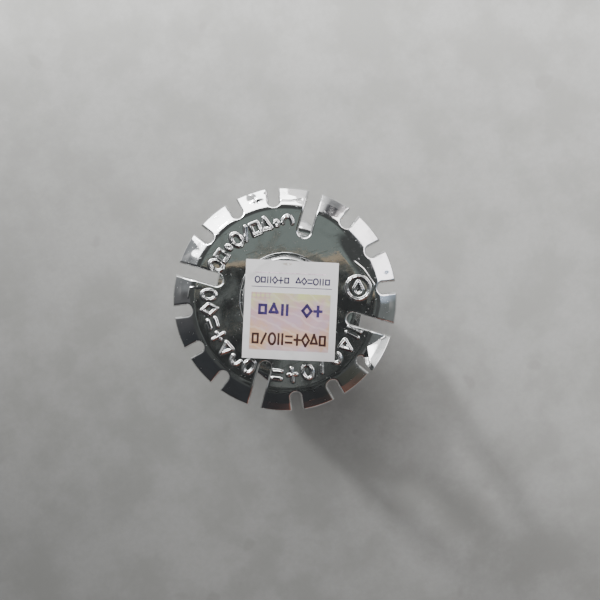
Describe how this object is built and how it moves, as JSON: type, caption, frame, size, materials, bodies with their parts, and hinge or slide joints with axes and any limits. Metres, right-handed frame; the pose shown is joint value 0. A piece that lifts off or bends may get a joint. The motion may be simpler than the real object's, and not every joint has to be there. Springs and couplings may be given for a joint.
{
  "type": "fire sprinkler head",
  "caption": "Pendent fire sprinkler head: chromed frame with a pipe thread, wrench boss and arms around a red glass bulb, a load screw, and a slotted round deflector with a label.",
  "frame": {"origin": "centre of the inlet face, the threaded end that the head stands on", "axes": "+Z along the waterway from the inlet face to the deflector, +X in the plane of the two frame arms, +Y square to a pair of wrench flats"},
  "size_m": [0.028, 0.028, 0.0572],
  "materials": {
    "chrome_plate": "bright chrome plate over cast and machined brass",
    "brass": "machined, unplated",
    "bulb_glass": "clear, polished",
    "red_liquid": "clear red glycerine-based liquid with an air bubble",
    "spring_alloy": "nickel alloy, satin",
    "fluoropolymer": "thin white fluoropolymer film",
    "label_film": "white self-adhesive vinyl, satin",
    "label_hologram": "pastel security foil"
  },
  "bodies": {
    "body": {"frame": "chrome_plate", "deflector": "chrome_plate", "label_film": "label_film", "label_hologram": "label_hologram"},
    "bulb": {"bulb_glass": "bulb_glass", "bulb_liquid": "red_liquid"},
    "load_screw": {"compression_screw": "brass"},
    "closure": {"pip_cap": "brass", "disc_spring": "spring_alloy", "seal_film_lower": "fluoropolymer", "seal_film_upper": "fluoropolymer"}
  },
  "joints": [
    {"name": "screw_turn", "type": "hinge", "parent": "bulb", "child": "load_screw", "pos_m": [0, 0, 0.05], "axis": [0, 0, 1], "range_deg": [0, 720]},
    {"name": "bulb_lift", "type": "slide", "parent": "body", "child": "bulb", "axis": [0, 0, 1], "range_m": [0, 0.002]},
    {"name": "closure_lift", "type": "slide", "parent": "body", "child": "closure", "axis": [0, 0, 1], "range_m": [0, 0.002]}
  ],
  "couplings": [
    {"joint": "screw_turn", "follows": "bulb_lift", "rad_per_m": 6283.2},
    {"joint": "closure_lift", "follows": "bulb_lift", "ratio": 1}
  ]
}
